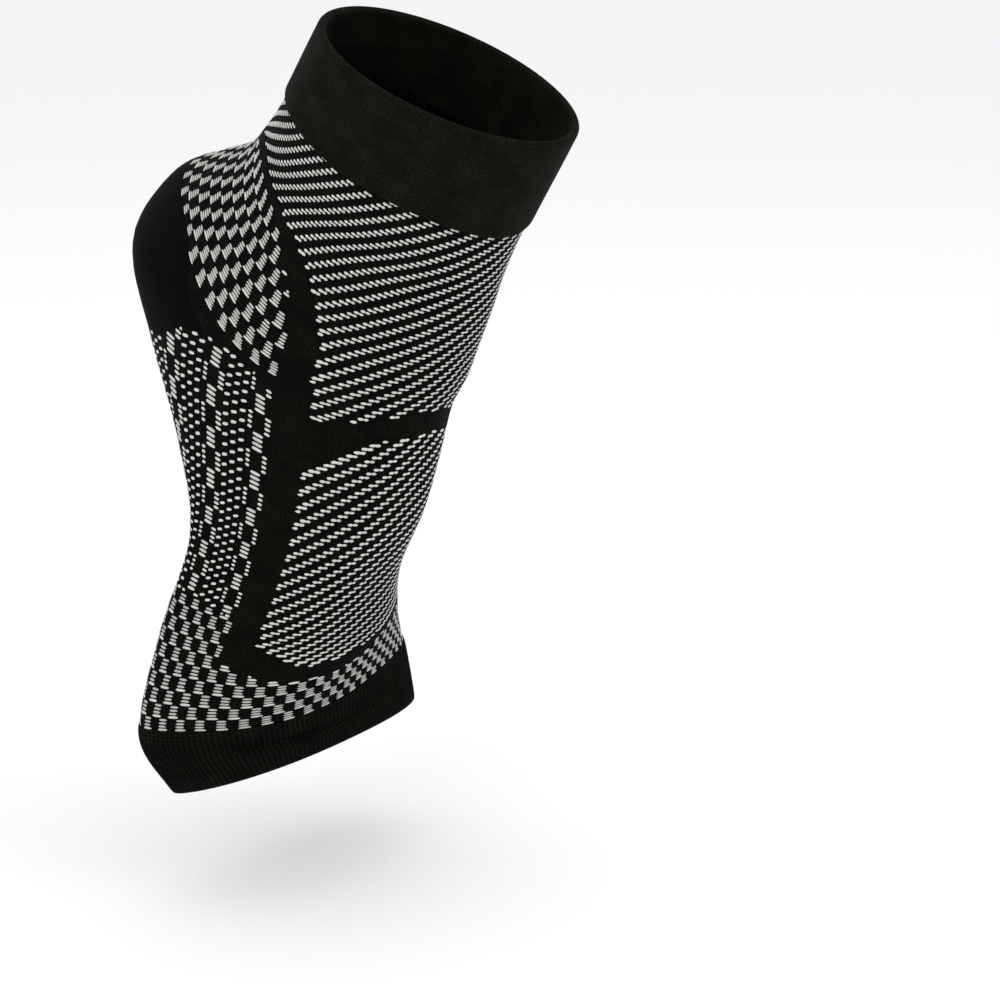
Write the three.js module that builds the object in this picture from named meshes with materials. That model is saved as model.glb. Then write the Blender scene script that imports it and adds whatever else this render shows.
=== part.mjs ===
// An open-toe knitted ankle brace for the left side, in the form that it has when worn.
// The knit is one tube. A table of sections from the leg rim, round the heel and on to the toe rim gives its
// skin, and a chart of knit zones divides the skin into cloth walls that lie edge to edge.
// Sizes are millimetres. The sections are set out in the sleeve's own frame: x runs to the toe rim, y to the
// outer side and z to the instep, and the origin is the middle of the bend, where the ankle sits.

import * as THREE from "three";

// The sleeve hangs with its toe rim down, this far from plumb, with +Z up and the instep towards -Y.
const LEAN_FROM_PLUMB_DEG = 13.6;

// Neighbouring zones lie this far apart.
const ZONE_GAP = 0.3;

// Sections of the skin from the leg rim to the toe rim. front and back are the ends of a section in the
// sleeve's middle plane; inner and outer its half widths; widest the share of the way from front to back
// where it is widest; frontFull and backFull how round each end is, with 1 an ellipse and less squarer;
// archLift how far the inner edge of the sole is raised; crest how far the front leans to the inner side;
// splay how far the inner side runs on towards the toe rim, for each mm of width. The last three columns say
// where the knit changes, as shares of the way round from the front: the front edge of the side band, its
// rear edge, and the edge of the heel pocket.
const SECTION_COLUMNS = [
  "frontX", "frontZ", "backX", "backZ", "inner", "outer", "widest", "frontFull", "backFull",
  "archLift", "crest", "splay", "panelEdge", "bandEdge", "heelEdge",
];
const SECTIONS = {
  cuffTop:   [-41.2, 90.8, -92.0, 29.0, 35.3, 34.9, 0.50, 1.00, 1.00, 0, 0.0, 0.00, 0.400, 0.440, 0.470],
  cuffBase:  [-19.9, 68.6, -76.0, 10.5, 35.4, 35.1, 0.50, 1.00, 1.00, 0, 0.0, 0.00, 0.440, 0.465, 0.480],
  shin:      [-6.8, 58.2, -68.1, -3.1, 32.0, 31.7, 0.50, 1.00, 1.00, 0, 0.0, 0.00, 0.375, 0.412, 0.455],
  ankleTop:  [3.5, 51.0, -62.7, -15.2, 31.7, 31.3, 0.48, 1.00, 1.00, 0, 0.0, 0.00, 0.247, 0.286, 0.400],
  heelTop:   [12.0, 44.5, -62.1, -29.6, 31.9, 32.0, 0.48, 1.00, 0.97, 0, 0.0, 0.00, 0.186, 0.222, 0.330],
  heelBack:  [20.8, 37.8, -60.8, -49.2, 32.9, 33.0, 0.49, 1.00, 0.92, 0, 0.0, 0.00, 0.145, 0.180, 0.270],
  heelBase:  [29.0, 29.8, -46.6, -68.1, 35.7, 33.6, 0.52, 1.00, 0.88, 0, 0.5, 0.00, 0.126, 0.162, 0.258],
  heelFront: [42.7, 21.5, -17.9, -68.3, 33.5, 34.3, 0.58, 1.00, 0.84, 2, 1.0, 0.00, 0.132, 0.174, 0.262],
  archBack:  [59.1, 10.9, 16.2, -65.7, 33.0, 34.3, 0.64, 1.00, 0.80, 9, 2.5, 0.00, 0.140, 0.188, 0.280],
  archMid:   [76.8, -5.4, 46.4, -64.6, 35.4, 35.8, 0.68, 1.00, 0.78, 15, 4.0, 0.00, 0.145, 0.191, 0.300],
  archFront: [93.3, -16.2, 75.4, -70.9, 45.0, 41.8, 0.68, 1.00, 0.76, 3, 4.0, 0.04, 0.153, 0.195, 0.310],
  ball:      [108.5, -23.4, 102.9, -78.4, 54.1, 48.6, 0.64, 0.97, 0.76, 1, 4.0, 0.08, 0.155, 0.205, 0.310],
  toeRim:    [123.6, -27.4, 127.5, -76.0, 46.6, 49.7, 0.60, 0.97, 0.78, 0, 3.0, 0.06, 0.155, 0.205, 0.310],
};

// Course lines, where the knit changes along the tube: their distance from the leg rim, in mm of mean length,
// at shares of the way round from the front, over the inner side and the back to the outer side.
const LINE_STATIONS = [0, 0.07, 0.13, 0.2, 0.26, 0.34, 0.5, 0.66, 0.74, 0.8, 0.87, 0.93];
const COURSE_LINES = {
  legRim:     [0, 0, 0, 0, 0, 0, 0, 0, 0, 0, 0, 0],
  cuffHem:    [29, 28, 27.2, 27.2, 27.2, 26.8, 26.6, 26.8, 27.2, 27.6, 28, 28.6],
  collarTop:  [41, 41.5, 42, 43, 43.8, 44.6, 44, 44.6, 43.8, 43, 42, 41.5],
  collarBase: [46.5, 47, 48, 49.4, 50, 49.2, 47.6, 49.2, 50, 49.4, 48, 47],
  crossTop:   [97, 106.5, 114, 105.5, 103.5, 86, 77.5, 86, 103.5, 105.5, 114, 106.5],
  crossBase:  [108, 117, 133, 120, 106, 117.5, 130, 117.5, 106, 120, 133, 117],
  borderTop:  [206.5, 207.3, 201.5, 192, 190, 190, 192, 190, 190, 190.5, 194.5, 200.5],
  borderBase: [211.6, 212.5, 209.8, 204, 203, 204, 205, 204, 202, 197.5, 198, 203.5],
  toeWelt:    [226.2, 227.2, 225.9, 224, 223.8, 224, 224, 224, 223.5, 222.2, 221, 222.2],
  toeRim:     [246, 246, 246, 246, 246, 246, 246, 246, 246, 246, 246, 246],
};

// The chart: for the stretch of knit between two course lines, its rows of cells, and its zone in each
// strip from the front to the back, the same on the inner and the outer side.
const STRIP_COLUMNS = [9, 3, 4, 6];
const CHART = [
  ["legRim", "cuffHem", 4, "cuff", "cuff", "cuff", "cuff"],
  ["cuffHem", "collarTop", 3, "shin_panel", "shin_panel", "shin_panel", "shin_panel"],
  ["collarTop", "collarBase", 1, "shin_panel", "support_frame", "support_frame", "support_frame"],
  ["collarBase", "crossTop", 9, "shin_panel", "support_frame", "ankle_panel", "ankle_panel"],
  ["crossTop", "crossBase", 7, "support_frame", "support_frame", "arch_panel", "heel_pocket"],
  ["crossBase", "borderTop", 14, "instep_panel", "support_frame", "arch_panel", "arch_panel"],
  ["borderTop", "borderBase", 3, "support_frame", "support_frame", "forefoot_band", "forefoot_band"],
  ["borderBase", "toeWelt", 3, "forefoot_band", "forefoot_band", "forefoot_band", "forefoot_band"],
  ["toeWelt", "toeRim", 4, "toe_band", "toe_band", "toe_band", "toe_band"],
].map(([from, to, rows, ...strips]) => ({ from, to, rows, strips }));

// Each zone's wall, how far its face stands above the skin, and its mean colour.
const ZONES = {
  cuff:          { wall: 2.6, rise: 1.2, colour: 0x161717 },
  shin_panel:    { wall: 1.5, rise: 0.0, colour: 0x6d6d69 },
  support_frame: { wall: 1.8, rise: 0.3, colour: 0x151614 },
  instep_panel:  { wall: 1.5, rise: 0.0, colour: 0x6d6d69 },
  ankle_panel:   { wall: 1.5, rise: 0.0, colour: 0x7c7c78 },
  heel_pocket:   { wall: 1.7, rise: 0.2, colour: 0x121314 },
  arch_panel:    { wall: 1.5, rise: 0.0, colour: 0x5c5c59 },
  forefoot_band: { wall: 1.5, rise: 0.0, colour: 0x7c7c78 },
  toe_band:      { wall: 2.2, rise: 0.6, colour: 0x131414 },
};
const KNIT_ROUGHNESS = 0.92;

// Steps used to walk half a section, to settle a cell's place and to measure the skin's slope.
const HALF_RING_STEPS = 120;
const SETTLE_STEPS = 14;
const SLOPE_STEP_ALONG = 0.4;
const SLOPE_STEP_ROUND = 0.002;
const ARCH_LIFT_POWER = 0.8;

// A smooth curve through rows of values at rising knots, read at one place.
function smoothRow(knots, rows, place) {
  const last = knots.length - 1;
  let i = 0;
  while (i < last - 1 && place >= knots[i + 1]) i += 1;
  const span = knots[i + 1] - knots[i];
  const x = (place - knots[i]) / span;
  const slope = (k, c) => {
    const before = Math.max(k - 1, 0);
    const after = Math.min(k + 1, last);
    return (rows[after][c] - rows[before][c]) / (knots[after] - knots[before]);
  };
  return rows[i].map((start, c) => {
    const end = rows[i + 1][c];
    const bend = (x * x * x - 2 * x * x + x) * slope(i, c) + (x * x * x - x * x) * slope(i + 1, c);
    return start + (3 * x * x - 2 * x * x * x) * (end - start) + bend * span;
  });
}

// Distance of each section from the leg rim: the mean of the ways along the front and the back.
function sectionStations(rows) {
  const stations = [0];
  for (let i = 1; i < rows.length; i += 1) {
    const [fx, fz, bx, bz] = rows[i];
    const [px, pz, qx, qz] = rows[i - 1];
    const step = (Math.hypot(fx - px, fz - pz) + Math.hypot(bx - qx, bz - qz)) / 2;
    stations.push(stations[i - 1] + step);
  }
  return stations;
}

const sectionRows = Object.values(SECTIONS);
const stations = sectionStations(sectionRows);

function sectionAt(along) {
  const values = smoothRow(stations, sectionRows, along);
  return Object.fromEntries(SECTION_COLUMNS.map((name, c) => [name, values[c]]));
}

// Where a course line lies, for a share of the way round.
function lineAt(name, round) {
  const values = COURSE_LINES[name];
  const last = values.length - 1;
  const wrapped = [values[last], ...values, values[0], values[1]];
  const knots = [LINE_STATIONS[last] - 1, ...LINE_STATIONS, 1, 1 + LINE_STATIONS[1]];
  return smoothRow(knots, wrapped.map((value) => [value]), round)[0];
}

// A point of one section, at an angle from its front towards the inner side.
function sectionPoint(section, angle) {
  const forward = Math.cos(angle);
  const inward = Math.sin(angle);
  const { widest, frontFull, backFull } = section;
  const share = forward >= 0
    ? widest - widest * forward ** frontFull
    : widest + (1 - widest) * (-forward) ** backFull;
  const half = inward >= 0 ? -section.inner : section.outer;
  const front = Math.max(forward, 0);
  const y = half * Math.abs(inward) ** ((frontFull + backFull) / 2) - section.crest * front * front;
  const innerShare = Math.min(Math.max(-y / section.inner, 0), 1);
  const lift = section.archLift * Math.max(-forward, 0) ** ARCH_LIFT_POWER * innerShare;
  return new THREE.Vector3(
    section.frontX + share * (section.backX - section.frontX) - section.splay * y,
    y,
    section.frontZ + share * (section.backZ - section.frontZ) + lift,
  );
}

// A point of the skin: a distance along the tube and a share of the way round, evenly spaced by length.
function skinPoint(along, round) {
  const turn = round - Math.floor(round);
  const side = turn <= 0.5 ? 1 : -1;
  const section = sectionAt(along);
  const points = [];
  const lengths = [0];
  for (let k = 0; k <= HALF_RING_STEPS; k += 1) {
    points.push(sectionPoint(section, (side * k * Math.PI) / HALF_RING_STEPS));
    if (k > 0) lengths.push(lengths[k - 1] + points[k].distanceTo(points[k - 1]));
  }
  const wanted = 2 * Math.min(turn, 1 - turn) * lengths[HALF_RING_STEPS];
  let k = 0;
  while (k < HALF_RING_STEPS - 1 && lengths[k + 1] < wanted) k += 1;
  const share = (wanted - lengths[k]) / (lengths[k + 1] - lengths[k]);
  return points[k].clone().lerp(points[k + 1], share);
}

// The skin's outward direction at a place.
function skinNormal(along, round) {
  const before = Math.max(along - SLOPE_STEP_ALONG, 0);
  const after = Math.min(along + SLOPE_STEP_ALONG, stations[stations.length - 1]);
  const downTube = skinPoint(after, round).sub(skinPoint(before, round));
  const inward = skinPoint(along, round + SLOPE_STEP_ROUND);
  const roundTube = inward.sub(skinPoint(along, round - SLOPE_STEP_ROUND));
  return roundTube.cross(downTube).normalize();
}

// The chart's columns go from the front down the inner side to the back and up the outer side.
const halfColumns = STRIP_COLUMNS.reduce((sum, count) => sum + count, 0);
const ringColumns = 2 * halfColumns;

function stripOf(column) {
  let strip = 0;
  let rest = column;
  while (rest >= STRIP_COLUMNS[strip] && strip < STRIP_COLUMNS.length - 1) {
    rest -= STRIP_COLUMNS[strip];
    strip += 1;
  }
  return { strip, share: rest / STRIP_COLUMNS[strip] };
}

// The share of the way round of a grid column, where the tube has reached a distance along.
function roundOf(column, along) {
  const inner = column <= halfColumns;
  const { strip, share } = stripOf(inner ? column : ringColumns - column);
  const section = sectionAt(along);
  const edges = [0, section.panelEdge, section.bandEdge, section.heelEdge, 0.5];
  const half = edges[strip] + share * (edges[strip + 1] - edges[strip]);
  return inner ? half : 1 - half;
}

// One grid point: its course line and column bend each other, so its place is settled by repeats.
function gridPoint(stretch, share, column) {
  let along = lineAt(stretch.from, 0);
  let round = 0;
  for (let k = 0; k < SETTLE_STEPS; k += 1) {
    round = roundOf(column, along);
    const start = lineAt(stretch.from, round);
    along = start + share * (lineAt(stretch.to, round) - start);
    along = Math.min(along, stations[stations.length - 1]);
  }
  return { skin: skinPoint(along, round), normal: skinNormal(along, round) };
}

function makeGrid() {
  const rows = [];
  CHART.forEach((stretch, k) => {
    const count = stretch.rows + (k === CHART.length - 1 ? 1 : 0);
    for (let row = 0; row < count; row += 1) {
      const cells = [];
      for (let column = 0; column < ringColumns; column += 1) {
        const half = column < halfColumns ? column : ringColumns - 1 - column;
        const zone = stretch.strips[stripOf(half).strip];
        cells.push({ ...gridPoint(stretch, row / stretch.rows, column), zone });
      }
      rows.push(cells);
    }
  });
  return rows;
}

const grid = makeGrid();
const next = (column) => (column + 1) % ringColumns;
const previous = (column) => (column + ringColumns - 1) % ringColumns;

// The cells of a zone that meet at a grid point, each by its first row and column.
function cellsAt(row, column, zone) {
  const around = [[row - 1, previous(column)], [row - 1, column], [row, previous(column)], [row, column]];
  return around.filter(([r, c]) => r >= 0 && r < grid.length - 1 && grid[r][c].zone === zone);
}

function cellCentre(row, column) {
  const [above, below] = [grid[row], grid[row + 1]];
  const corners = [above[column], above[next(column)], below[column], below[next(column)]];
  const sum = corners.reduce((total, corner) => total.add(corner.skin), new THREE.Vector3());
  return sum.divideScalar(corners.length);
}

// A zone's own place for a grid point: on its edge it draws back by half the gap.
function zonePoint(row, column, zone) {
  const point = grid[row][column].skin.clone();
  const cells = cellsAt(row, column, zone);
  if (cells.length === 4) return point;
  const inwards = new THREE.Vector3();
  cells.forEach(([r, c]) => inwards.add(cellCentre(r, c).sub(point)));
  const corner = cells.length === 2 ? 1 : Math.SQRT2;
  return point.addScaledVector(inwards.normalize(), (corner * ZONE_GAP) / 2);
}

// A closed cloth wall over all cells of a zone: face, lining and the edges between them.
function zoneGeometry(zone) {
  const { wall, rise } = ZONES[zone];
  const positions = [];
  const triangles = [];
  const numbers = new Map();
  const cornerNumber = (row, column) => {
    const key = row * ringColumns + column;
    if (!numbers.has(key)) {
      const point = zonePoint(row, column, zone);
      const { normal } = grid[row][column];
      numbers.set(key, positions.length / 3);
      positions.push(...point.clone().addScaledVector(normal, rise).toArray());
      positions.push(...point.clone().addScaledVector(normal, rise - wall).toArray());
    }
    return numbers.get(key);
  };
  const isZone = (row, column) => row >= 0 && row < grid.length - 1 && grid[row][column].zone === zone;
  const edgeWall = (from, to) => triangles.push(from, from + 1, to, to, from + 1, to + 1);
  for (let row = 0; row < grid.length - 1; row += 1) {
    for (let column = 0; column < ringColumns; column += 1) {
      if (!isZone(row, column)) continue;
      const a = cornerNumber(row, column);
      const b = cornerNumber(row, next(column));
      const c = cornerNumber(row + 1, next(column));
      const d = cornerNumber(row + 1, column);
      triangles.push(a, b, c, a, c, d);
      triangles.push(a + 1, c + 1, b + 1, a + 1, d + 1, c + 1);
      if (!isZone(row - 1, column)) edgeWall(a, b);
      if (!isZone(row, next(column))) edgeWall(b, c);
      if (!isZone(row + 1, column)) edgeWall(c, d);
      if (!isZone(row, previous(column))) edgeWall(d, a);
    }
  }
  const geometry = new THREE.BufferGeometry();
  geometry.setAttribute("position", new THREE.Float32BufferAttribute(positions, 3));
  geometry.setIndex(triangles);
  geometry.computeVertexNormals();
  return geometry;
}

// The sleeve hangs as worn: its toe, outer and instep directions in the standing frame.
const plumb = THREE.MathUtils.degToRad(LEAN_FROM_PLUMB_DEG);
const toeward = new THREE.Vector3(0, -Math.sin(plumb), -Math.cos(plumb));
const outward = new THREE.Vector3(1, 0, 0);
const upward = new THREE.Vector3(0, -Math.cos(plumb), Math.sin(plumb));

const sleeve = new THREE.Group();
sleeve.quaternion.setFromRotationMatrix(new THREE.Matrix4().makeBasis(toeward, outward, upward));
Object.entries(ZONES).forEach(([name, { colour }]) => {
  const material = new THREE.MeshStandardMaterial({ color: colour, roughness: KNIT_ROUGHNESS, metalness: 0 });
  const mesh = new THREE.Mesh(zoneGeometry(name), material);
  mesh.name = name;
  sleeve.add(mesh);
});

const ankleBrace = new THREE.Group();
ankleBrace.add(sleeve);
export default ankleBrace;
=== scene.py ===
import bpy
import numpy as np
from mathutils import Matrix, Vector


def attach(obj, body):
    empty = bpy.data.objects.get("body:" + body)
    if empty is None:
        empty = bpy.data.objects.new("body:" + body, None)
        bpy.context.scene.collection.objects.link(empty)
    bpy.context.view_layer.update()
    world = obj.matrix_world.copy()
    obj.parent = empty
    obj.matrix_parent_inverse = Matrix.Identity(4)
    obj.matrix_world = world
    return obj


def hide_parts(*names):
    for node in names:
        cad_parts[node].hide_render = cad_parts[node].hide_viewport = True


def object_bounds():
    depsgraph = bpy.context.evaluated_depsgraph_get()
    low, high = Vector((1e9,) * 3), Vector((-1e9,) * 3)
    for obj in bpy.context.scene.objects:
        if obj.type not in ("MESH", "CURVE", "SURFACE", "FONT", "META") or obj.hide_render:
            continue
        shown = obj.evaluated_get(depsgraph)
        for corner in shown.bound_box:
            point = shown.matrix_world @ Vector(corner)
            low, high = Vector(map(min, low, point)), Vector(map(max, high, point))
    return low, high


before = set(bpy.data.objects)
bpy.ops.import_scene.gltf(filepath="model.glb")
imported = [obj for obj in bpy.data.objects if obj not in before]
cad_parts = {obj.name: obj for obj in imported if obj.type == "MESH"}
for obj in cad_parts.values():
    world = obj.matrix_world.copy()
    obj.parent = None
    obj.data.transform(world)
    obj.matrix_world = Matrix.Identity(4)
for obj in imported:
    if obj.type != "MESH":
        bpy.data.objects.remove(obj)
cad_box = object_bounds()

# The cuff is a plain black welt of nylon and elastic, knitted double and folded over at the rim.
# It is where the tube begins, so the worn form of the whole tube is set out here, in mm of the sleeve's own
# frame: x to the toe end, y to the outer side, z to the instep side. Its ends are open rims.
MM = 0.001
LEAN_FROM_PLUMB = np.radians(13.6)
SECTION_COLUMNS = (
    "frontX", "frontZ", "backX", "backZ", "inner", "outer", "widest", "frontFull", "backFull",
    "archLift", "crest", "splay", "panelEdge", "bandEdge", "heelEdge",
)
SECTIONS = {
    "cuffTop": (-41.2, 90.8, -92.0, 29.0, 35.3, 34.9, 0.50, 1.00, 1.00, 0, 0.0, 0.00, 0.400, 0.440, 0.470),
    "cuffBase": (-19.9, 68.6, -76.0, 10.5, 35.4, 35.1, 0.50, 1.00, 1.00, 0, 0.0, 0.00, 0.440, 0.465, 0.480),
    "shin": (-6.8, 58.2, -68.1, -3.1, 32.0, 31.7, 0.50, 1.00, 1.00, 0, 0.0, 0.00, 0.375, 0.412, 0.455),
    "ankleTop": (3.5, 51.0, -62.7, -15.2, 31.7, 31.3, 0.48, 1.00, 1.00, 0, 0.0, 0.00, 0.247, 0.286, 0.400),
    "heelTop": (12.0, 44.5, -62.1, -29.6, 31.9, 32.0, 0.48, 1.00, 0.97, 0, 0.0, 0.00, 0.186, 0.222, 0.330),
    "heelBack": (20.8, 37.8, -60.8, -49.2, 32.9, 33.0, 0.49, 1.00, 0.92, 0, 0.0, 0.00, 0.145, 0.180, 0.270),
    "heelBase": (29.0, 29.8, -46.6, -68.1, 35.7, 33.6, 0.52, 1.00, 0.88, 0, 0.5, 0.00, 0.126, 0.162, 0.258),
    "heelFront": (42.7, 21.5, -17.9, -68.3, 33.5, 34.3, 0.58, 1.00, 0.84, 2, 1.0, 0.00, 0.132, 0.174, 0.262),
    "archBack": (59.1, 10.9, 16.2, -65.7, 33.0, 34.3, 0.64, 1.00, 0.80, 9, 2.5, 0.00, 0.140, 0.188, 0.280),
    "archMid": (76.8, -5.4, 46.4, -64.6, 35.4, 35.8, 0.68, 1.00, 0.78, 15, 4.0, 0.00, 0.145, 0.191, 0.300),
    "archFront": (93.3, -16.2, 75.4, -70.9, 45.0, 41.8, 0.68, 1.00, 0.76, 3, 4.0, 0.04, 0.153, 0.195, 0.310),
    "ball": (108.5, -23.4, 102.9, -78.4, 54.1, 48.6, 0.64, 0.97, 0.76, 1, 4.0, 0.08, 0.155, 0.205, 0.310),
    "toeRim": (123.6, -27.4, 127.5, -76.0, 46.6, 49.7, 0.60, 0.97, 0.78, 0, 3.0, 0.06, 0.155, 0.205, 0.310),
}
ARCH_LIFT_POWER = 0.8
section_rows = np.array(list(SECTIONS.values()))
column_of = {name: number for number, name in enumerate(SECTION_COLUMNS)}


def smooth_rows(knots, rows, places):
    """Rows of values at rising knots, read along a smooth curve at each of the places."""
    slopes = np.empty_like(rows)
    slopes[1:-1] = (rows[2:] - rows[:-2]) / (knots[2:] - knots[:-2])[:, None]
    slopes[0] = (rows[1] - rows[0]) / (knots[1] - knots[0])
    slopes[-1] = (rows[-1] - rows[-2]) / (knots[-1] - knots[-2])
    before = np.clip(np.searchsorted(knots, places, side="right") - 1, 0, len(knots) - 2)
    span = (knots[before + 1] - knots[before])[:, None]
    x = (places - knots[before])[:, None] / span
    start, end = rows[before], rows[before + 1]
    bend = (x**3 - 2 * x**2 + x) * slopes[before] + (x**3 - x**2) * slopes[before + 1]
    return start + (3 * x**2 - 2 * x**3) * (end - start) + bend * span


# A section's station is its mean distance from the leg rim, along the front and the back of the tube.
front_steps = np.hypot(*np.diff(section_rows[:, 0:2], axis=0).T)
back_steps = np.hypot(*np.diff(section_rows[:, 2:4], axis=0).T)
stations = np.concatenate([[0], np.cumsum((front_steps + back_steps) / 2)])

# The tube is walked once on a close net, every quarter millimetre along it and 960 steps round it.
ALONG_STEP = 0.25
ROUND_STEPS = 960
RING_STEPS = 720
net_along = np.arange(0, stations[-1], ALONG_STEP)
net_round = np.arange(ROUND_STEPS) / ROUND_STEPS


def tube_rings(rows):
    """Points of the tube's rings, by the angle from the front over the inner side to the back."""
    value = {name: rows[:, [number]] for name, number in column_of.items()}
    angle = np.linspace(0, 2 * np.pi, RING_STEPS + 1)
    forward, inward = np.cos(angle), np.sin(angle)
    front_share = value["widest"] * (1 - np.abs(forward) ** value["frontFull"])
    back_share = value["widest"] + (1 - value["widest"]) * np.abs(forward) ** value["backFull"]
    share = np.where(forward >= 0, front_share, back_share)
    half = np.where(inward >= 0, -value["inner"], value["outer"])
    fullness = (value["frontFull"] + value["backFull"]) / 2
    y = half * np.abs(inward) ** fullness - value["crest"] * np.maximum(forward, 0) ** 2
    inner_share = np.clip(-y / value["inner"], 0, 1)
    lift = value["archLift"] * np.maximum(-forward, 0) ** ARCH_LIFT_POWER * inner_share
    x = value["frontX"] + share * (value["backX"] - value["frontX"]) - value["splay"] * y
    z = value["frontZ"] + share * (value["backZ"] - value["frontZ"]) + lift
    return np.stack([x, y, z], axis=-1)


def spaced_evenly(ring):
    """A ring's points set at even steps of length, the inner and the outer half each by itself."""
    lengths = np.concatenate([[0], np.cumsum(np.linalg.norm(np.diff(ring, axis=0), axis=1))])
    back = lengths[RING_STEPS // 2]
    outer_way = back + (2 * net_round - 1) * (lengths[-1] - back)
    wanted = np.where(net_round <= 0.5, 2 * net_round * back, outer_way)
    return np.stack([np.interp(wanted, lengths, ring[:, axis]) for axis in range(3)], axis=-1)


toeward = np.array([0, -np.sin(LEAN_FROM_PLUMB), -np.cos(LEAN_FROM_PLUMB)])
outward = np.array([1.0, 0, 0])
upward = np.array([0, -np.cos(LEAN_FROM_PLUMB), np.sin(LEAN_FROM_PLUMB)])
rings = tube_rings(smooth_rows(stations, section_rows, net_along))
tube = np.array([spaced_evenly(ring) for ring in rings]) @ np.stack([toeward, outward, upward])
step_round = np.roll(tube, -1, axis=1) - np.roll(tube, 1, axis=1)
tube_normals = np.cross(step_round, np.gradient(tube, axis=0))
tube_normals /= np.linalg.norm(tube_normals, axis=-1, keepdims=True)


NET_MARGIN = 0.001


def read_net(net, along, around):
    """A value of the close net at places along the tube (mm) and round it (shares of a turn)."""
    row = np.clip(along / ALONG_STEP, 0, len(net) - 1 - NET_MARGIN)
    column = (around % 1.0) * ROUND_STEPS
    i, j = row.astype(int), column.astype(int) % ROUND_STEPS
    down, over = (row - i)[..., None], (column - np.floor(column))[..., None]
    k = (j + 1) % ROUND_STEPS
    upper = net[i, j] * (1 - over) + net[i, k] * over
    lower = net[i + 1, j] * (1 - over) + net[i + 1, k] * over
    return upper * (1 - down) + lower * down


def on_tube(along, around, rise=0.0):
    """Points in metres at places on the tube, raised off it by a rise in mm."""
    lifted = np.asarray(rise)[..., None] * read_net(tube_normals, along, around)
    return (read_net(tube, along, around) + lifted) * MM


# Stitches are counted round the tube in wales and down it in courses, and the finishes follow the count.
WALES_ROUND = 148
PLAIN_COURSE = 1.1


def knit_object(name, points, faces, counts, node=None):
    """A knitted piece of given points and faces, with its stitch counts at each corner of each face."""
    mesh = bpy.data.meshes.new(name)
    mesh.from_pydata(points.tolist(), [], faces)
    mesh.uv_layers.new(name="stitches").data.foreach_set("uv", counts.astype(np.float32).ravel())
    mesh.shade_smooth()
    piece = bpy.data.objects.new(name, mesh)
    bpy.context.scene.collection.objects.link(piece)
    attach(piece, "root")
    if node:
        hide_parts(node)
    return piece


def welt(name, along, rise, node):
    """A closed welt round the tube. Its profile runs down the face and back up the lining."""
    rows, columns = along.shape
    around = np.broadcast_to(np.arange(columns) / columns, along.shape)
    points = on_tube(along, around, rise).reshape(-1, 3)
    i, j = np.meshgrid(np.arange(rows), np.arange(columns), indexing="ij")
    below, beside = (i + 1) % rows, (j + 1) % columns
    corners = ((i, j), (i, beside), (below, beside), (below, j))
    quads = np.stack([row * columns + column for row, column in corners], axis=-1)
    wale = np.stack([j, j + 1, j + 1, j], axis=-1) * WALES_ROUND / columns
    course = np.stack([along[corner] for corner in corners], axis=-1) / PLAIN_COURSE
    counts = np.stack([wale, course], axis=-1)
    return knit_object(name, points, quads.reshape(-1, 4).tolist(), counts, node)


# A black stitch is an oval, and its cell is this many half ovals wide and tall. Its relief is in mm.
CELL_IN_OVALS = (1.9, 2.2)
STITCH_RELIEF = 0.3
FIBRE_RELIEF = 0.35


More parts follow.
